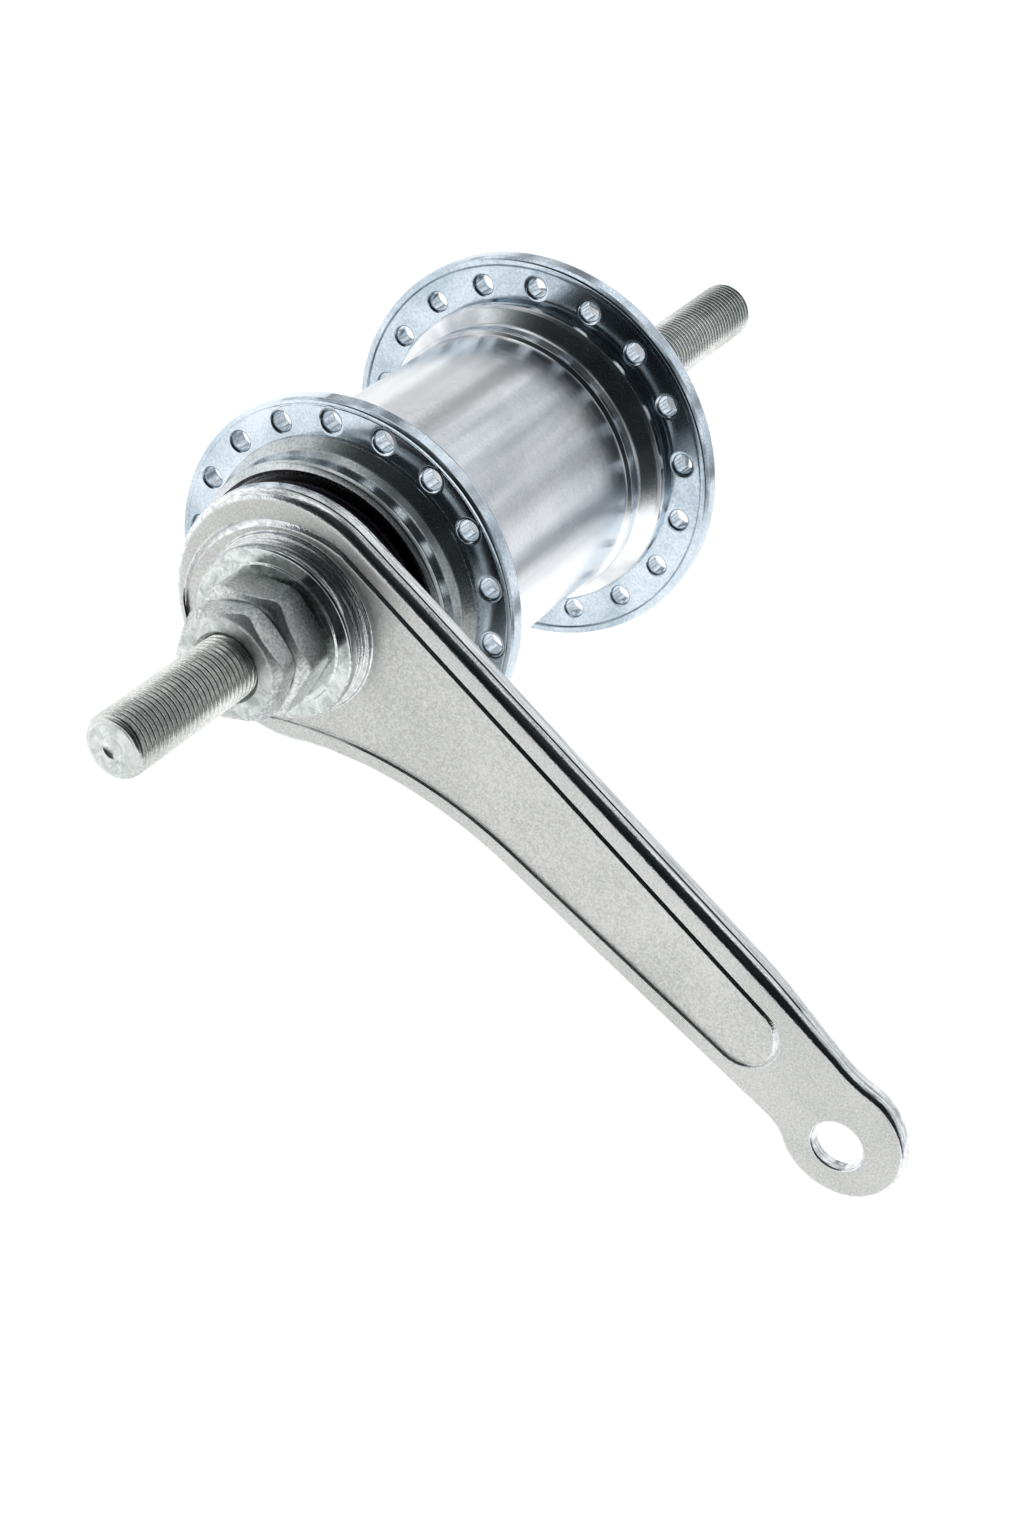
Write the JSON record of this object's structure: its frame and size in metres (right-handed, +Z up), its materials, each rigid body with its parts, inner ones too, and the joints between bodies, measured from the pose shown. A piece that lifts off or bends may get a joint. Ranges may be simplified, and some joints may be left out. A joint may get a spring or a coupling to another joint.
{
  "type": "bicycle coaster brake hub",
  "caption": "Rear bicycle hub with a back-pedal brake: threaded axle, stamped brake arm, drilled spoke flanges, wide barrel, and a driver with a sliding clutch inside.",
  "frame": {"origin": "on the axle's centre line, midway between the two dropout faces", "axes": "+X along the brake arm towards its clip hole, +Y along the axle towards the drive side, +Z up"},
  "size_m": [0.1515, 0.1845, 0.0656],
  "materials": {
    "zinc_thread": "zinc-plated steel with a cut thread",
    "zinc_nut": "zinc-plated steel, speckled satin",
    "zinc_satin": "zinc-plated pressed steel, satin",
    "zinc_arm": "zinc-plated stamped steel, grainy satin",
    "dark_cap": "dark moulded ring, satin",
    "hard_steel": "turned and ground hard steel, oiled",
    "polished_steel": "polished plated steel",
    "brushed_barrel": "bright steel, fine turned brushing",
    "bright_zinc": "bright bluish zinc plating",
    "spring_steel": "blued spring steel",
    "shoe_bronze": "bronze, turned",
    "ball_steel": "polished bearing steel"
  },
  "bodies": {
    "axle_assembly": {"axle": "zinc_thread", "brake_side_locknut": "zinc_nut", "brake_arm_nut": "zinc_nut", "brake_arm_washer": "zinc_satin", "brake_arm": "zinc_arm", "brake_side_dust_cap": "dark_cap", "brake_cone": "hard_steel", "drive_side_cone": "hard_steel", "drive_side_cone_cap": "polished_steel", "lock_washer": "zinc_satin", "drive_side_locknut": "zinc_nut"},
    "hub_shell": {"hub_barrel": "brushed_barrel", "brake_side_collar": "polished_steel", "brake_side_flange": "bright_zinc", "drive_side_flange": "bright_zinc", "brake_drum_liner": "hard_steel", "drive_clutch_ring": "hard_steel", "brake_side_bearing_cup": "hard_steel", "drive_side_bearing_cup": "hard_steel"},
    "driver_body": {"driver": "hard_steel", "driver_dust_cap": "polished_steel"},
    "clutch": {"clutch_cone": "hard_steel", "retarder_spring": "spring_steel"},
    "upper_shoe": {"upper_brake_shoe": "shoe_bronze"},
    "lower_shoe": {"lower_brake_shoe": "shoe_bronze"},
    "brake_side_bearing": {"brake_side_balls": "ball_steel", "brake_side_ball_retainer": "spring_steel"},
    "drive_side_bearing": {"drive_side_balls": "ball_steel", "drive_side_ball_retainer": "spring_steel"},
    "driver_bearing": {"driver_balls": "ball_steel", "driver_ball_retainer": "spring_steel"}
  },
  "joints": [
    {"name": "shell_spin", "type": "hinge", "parent": "axle_assembly", "child": "hub_shell", "pos_m": [0, 0, 0], "axis": [0, 1, 0], "continuous": true},
    {"name": "driver_spin", "type": "hinge", "parent": "axle_assembly", "child": "driver_body", "pos_m": [0, 0, 0], "axis": [0, 1, 0], "continuous": true},
    {"name": "clutch_slide", "type": "slide", "parent": "axle_assembly", "child": "clutch", "axis": [0, 1, 0], "range_m": [-0.0016, 0.0008]},
    {"name": "upper_shoe_slide", "type": "slide", "parent": "axle_assembly", "child": "upper_shoe", "axis": [0, 0, 1], "range_m": [-0.0002, 0.0004]},
    {"name": "lower_shoe_slide", "type": "slide", "parent": "axle_assembly", "child": "lower_shoe", "axis": [0, 0, -1], "range_m": [-0.0002, 0.0004]},
    {"name": "brake_side_bearing_roll", "type": "hinge", "parent": "axle_assembly", "child": "brake_side_bearing", "pos_m": [0, 0, 0], "axis": [0, 1, 0], "continuous": true},
    {"name": "drive_side_bearing_roll", "type": "hinge", "parent": "axle_assembly", "child": "drive_side_bearing", "pos_m": [0, 0, 0], "axis": [0, 1, 0], "continuous": true},
    {"name": "driver_bearing_roll", "type": "hinge", "parent": "axle_assembly", "child": "driver_bearing", "pos_m": [0, 0, 0], "axis": [0, 1, 0], "continuous": true}
  ],
  "couplings": [
    {"joint": "upper_shoe_slide", "follows": "clutch_slide", "ratio": -0.25},
    {"joint": "lower_shoe_slide", "follows": "clutch_slide", "ratio": -0.25},
    {"joint": "brake_side_bearing_roll", "follows": "shell_spin", "ratio": 0.6},
    {"joint": "drive_side_bearing_roll", "follows": "shell_spin", "ratio": 0.59},
    {"joint": "driver_bearing_roll", "follows": "driver_spin", "ratio": 0.62}
  ]
}
